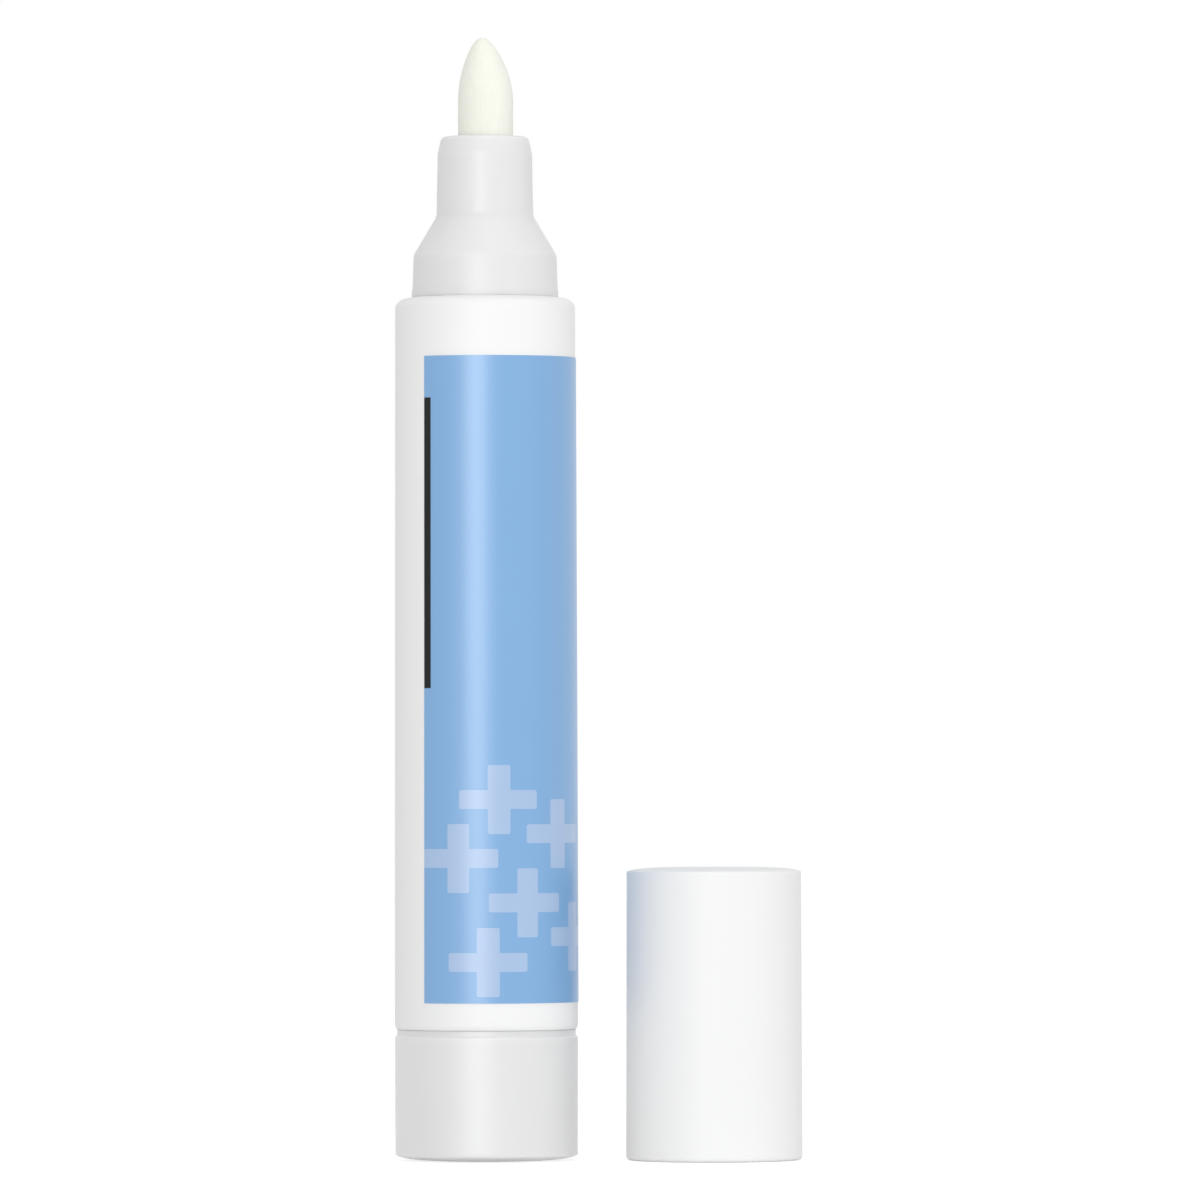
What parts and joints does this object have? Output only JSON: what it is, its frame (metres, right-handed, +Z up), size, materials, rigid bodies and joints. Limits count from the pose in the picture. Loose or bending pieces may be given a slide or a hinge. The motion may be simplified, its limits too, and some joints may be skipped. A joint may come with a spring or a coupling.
{
  "type": "nail care pen",
  "caption": "Twist-up nail care pen: a felt nib in a stepped nozzle, a round labelled barrel, a dosing knob that drives a piston, and a plain pull-off cap standing beside it.",
  "frame": {"origin": "centre of the knob's flat end, on the pen's axis, where the pen stands", "axes": "+Z up along the pen's axis towards the nib, +X from the pen towards the cap beside it, -Y the front of the label as pictured"},
  "size_m": [0.037, 0.0167, 0.1021],
  "materials": {
    "white_shell": "white polypropylene, soft satin gloss",
    "natural_shell": "natural polypropylene, slightly translucent, satin",
    "label_film": "blue printed film with paler plus signs and a black bar",
    "felt": "off-white pressed fibre",
    "inner_plastic": "moulded, unpolished",
    "drive_plastic": "moulded low-friction plastic",
    "soft_plastic": "soft polyethylene",
    "seal_rubber": "clear silicone rubber"
  },
  "bodies": {
    "pen_body": {"barrel": "white_shell", "label": "label_film", "nozzle": "natural_shell", "nozzle_seal": "seal_rubber", "feed_plug": "inner_plastic", "felt_nib": "felt", "ratchet_sleeve": "inner_plastic", "spindle_nut": "inner_plastic"},
    "knob_drive": {"knob": "natural_shell", "driver_sleeve": "drive_plastic", "pawl_ring": "drive_plastic"},
    "spindle": {"spindle": "drive_plastic"},
    "piston": {"piston": "soft_plastic", "piston_front_seal": "seal_rubber", "piston_rear_seal": "seal_rubber"},
    "cap": {"cap_shell": "white_shell", "cap_liner": "soft_plastic"}
  },
  "joints": [
    {"name": "knob_turn", "type": "hinge", "parent": "pen_body", "child": "knob_drive", "pos_m": [0, 0, 0], "axis": [0, 0, 1], "range_deg": [0, 2880]},
    {"name": "spindle_climb", "type": "slide", "parent": "knob_drive", "child": "spindle", "axis": [0, 0, 1], "range_m": [0, 0.024]},
    {"name": "piston_push", "type": "slide", "parent": "pen_body", "child": "piston", "axis": [0, 0, 1], "range_m": [0, 0.024]},
    {"name": "cap_lift", "type": "slide", "parent": "pen_body", "child": "cap", "axis": [0, 0, 1], "range_m": [0, 0.11]}
  ],
  "couplings": [
    {"joint": "spindle_climb", "follows": "knob_turn", "m_per_rad": 0.00047746},
    {"joint": "piston_push", "follows": "knob_turn", "m_per_rad": 0.00047746}
  ]
}
